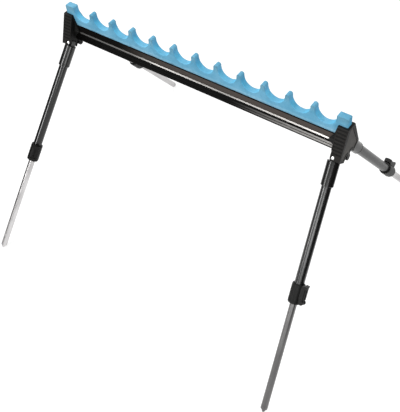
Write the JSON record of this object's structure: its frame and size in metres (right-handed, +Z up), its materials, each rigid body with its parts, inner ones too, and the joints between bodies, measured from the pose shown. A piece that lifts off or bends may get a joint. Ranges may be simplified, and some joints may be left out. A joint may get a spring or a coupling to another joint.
{
  "type": "ground stake rod holder",
  "caption": "Bank rest for fishing poles: notched blue foam on a black beam with moulded end caps and telescopic pointed stake legs that fold under it.",
  "frame": {"origin": "On the ground in the middle of the footprint: halfway between the two end caps and halfway between the front and rear stake tips", "axes": "+X along the beam to the right seen from the front, +Y to the rear, +Z up; the front is -Y"},
  "size_m": [0.7982, 0.7284, 0.5274],
  "materials": {
    "foam": "closed-cell foam, cut edges",
    "black_alloy": "black anodised extrusion",
    "black_moulding": "fine moulded grain",
    "cover": "smooth satin moulding",
    "clamp_moulding": "satin moulding",
    "leg_tube": "black anodised, drawn tube",
    "stake": "bare drawn aluminium",
    "stake_point": "turned point",
    "bush": "moulded",
    "bright_pin": "polished dome head",
    "fasteners": "plated steel"
  },
  "bodies": {
    "rest": {"foam_rest": "foam", "beam": "black_alloy", "left_end_cap": "black_moulding", "right_end_cap": "black_moulding", "left_cap_cover": "cover", "right_cap_cover": "cover", "left_beam_screws": "fasteners", "right_beam_screws": "fasteners", "left_cover_screw": "fasteners", "right_cover_screw": "fasteners", "front_left_hinge_pin": "bright_pin", "front_right_hinge_pin": "bright_pin", "rear_left_hinge_pin": "bright_pin", "rear_right_hinge_pin": "bright_pin"},
    "front_left_leg": {"front_left_knuckle": "black_moulding", "front_left_leg_tube": "leg_tube", "front_left_clamp": "clamp_moulding", "front_left_lever_pin": "fasteners"},
    "front_left_lock": {"front_left_lever": "clamp_moulding"},
    "front_left_slider": {"front_left_stake": "stake", "front_left_stake_point": "stake_point", "front_left_stake_bush": "bush"},
    "front_right_leg": {"front_right_knuckle": "black_moulding", "front_right_leg_tube": "leg_tube", "front_right_clamp": "clamp_moulding", "front_right_lever_pin": "fasteners"},
    "front_right_lock": {"front_right_lever": "clamp_moulding"},
    "front_right_slider": {"front_right_stake": "stake", "front_right_stake_point": "stake_point", "front_right_stake_bush": "bush"},
    "rear_left_leg": {"rear_left_knuckle": "black_moulding", "rear_left_leg_tube": "leg_tube", "rear_left_clamp": "clamp_moulding", "rear_left_lever_pin": "fasteners"},
    "rear_left_lock": {"rear_left_lever": "clamp_moulding"},
    "rear_left_slider": {"rear_left_stake": "stake", "rear_left_stake_point": "stake_point", "rear_left_stake_bush": "bush"},
    "rear_right_leg": {"rear_right_knuckle": "black_moulding", "rear_right_leg_tube": "leg_tube", "rear_right_clamp": "clamp_moulding", "rear_right_lever_pin": "fasteners"},
    "rear_right_lock": {"rear_right_lever": "clamp_moulding"},
    "rear_right_slider": {"rear_right_stake": "stake", "rear_right_stake_point": "stake_point", "rear_right_stake_bush": "bush"}
  },
  "joints": [
    {"name": "front_left_fold", "type": "hinge", "parent": "rest", "child": "front_left_leg", "pos_m": [-0.3383, -0.0257, 0.44083], "axis": [0, -0.7934, 0.6088], "range_deg": [0, 95.6]},
    {"name": "front_left_lock_flip", "type": "hinge", "parent": "front_left_leg", "child": "front_left_lock", "pos_m": [-0.35612, -0.21627, 0.21564], "axis": [0.7842, 0.4416, -0.4358], "range_deg": [0, 115]},
    {"name": "front_left_retract", "type": "slide", "parent": "front_left_leg", "child": "front_left_slider", "axis": [0.0976, 0.6059, 0.7896], "range_m": [0, 0.232]},
    {"name": "front_right_fold", "type": "hinge", "parent": "rest", "child": "front_right_leg", "pos_m": [0.3383, -0.0257, 0.44083], "axis": [0, 0.7934, -0.6088], "range_deg": [0, 95.6]},
    {"name": "front_right_lock_flip", "type": "hinge", "parent": "front_right_leg", "child": "front_right_lock", "pos_m": [0.38463, -0.20585, 0.21117], "axis": [0.1728, 0.7916, -0.5861], "range_deg": [0, 115]},
    {"name": "front_right_retract", "type": "slide", "parent": "front_right_leg", "child": "front_right_slider", "axis": [-0.0976, 0.6059, 0.7896], "range_m": [0, 0.232]},
    {"name": "rear_left_fold", "type": "hinge", "parent": "rest", "child": "rear_left_leg", "pos_m": [-0.3383, 0.0257, 0.44083], "axis": [0, -0.7934, -0.6088], "range_deg": [0, 95.6]},
    {"name": "rear_left_lock_flip", "type": "hinge", "parent": "rear_left_leg", "child": "rear_left_lock", "pos_m": [-0.36709, 0.21863, 0.2188], "axis": [-0.9952, -0.0594, 0.0774], "range_deg": [0, 115]},
    {"name": "rear_left_retract", "type": "slide", "parent": "rear_left_leg", "child": "rear_left_slider", "axis": [0.0976, -0.6059, 0.7896], "range_m": [0, 0.232]},
    {"name": "rear_right_fold", "type": "hinge", "parent": "rest", "child": "rear_right_leg", "pos_m": [0.3383, 0.0257, 0.44083], "axis": [0, 0.7934, 0.6088], "range_deg": [0, 95.6]},
    {"name": "rear_right_lock_flip", "type": "hinge", "parent": "rear_right_leg", "child": "rear_right_lock", "pos_m": [0.36709, 0.21863, 0.2188], "axis": [-0.9952, 0.0594, -0.0774], "range_deg": [0, 115]},
    {"name": "rear_right_retract", "type": "slide", "parent": "rear_right_leg", "child": "rear_right_slider", "axis": [-0.0976, -0.6059, 0.7896], "range_m": [0, 0.232]}
  ]
}
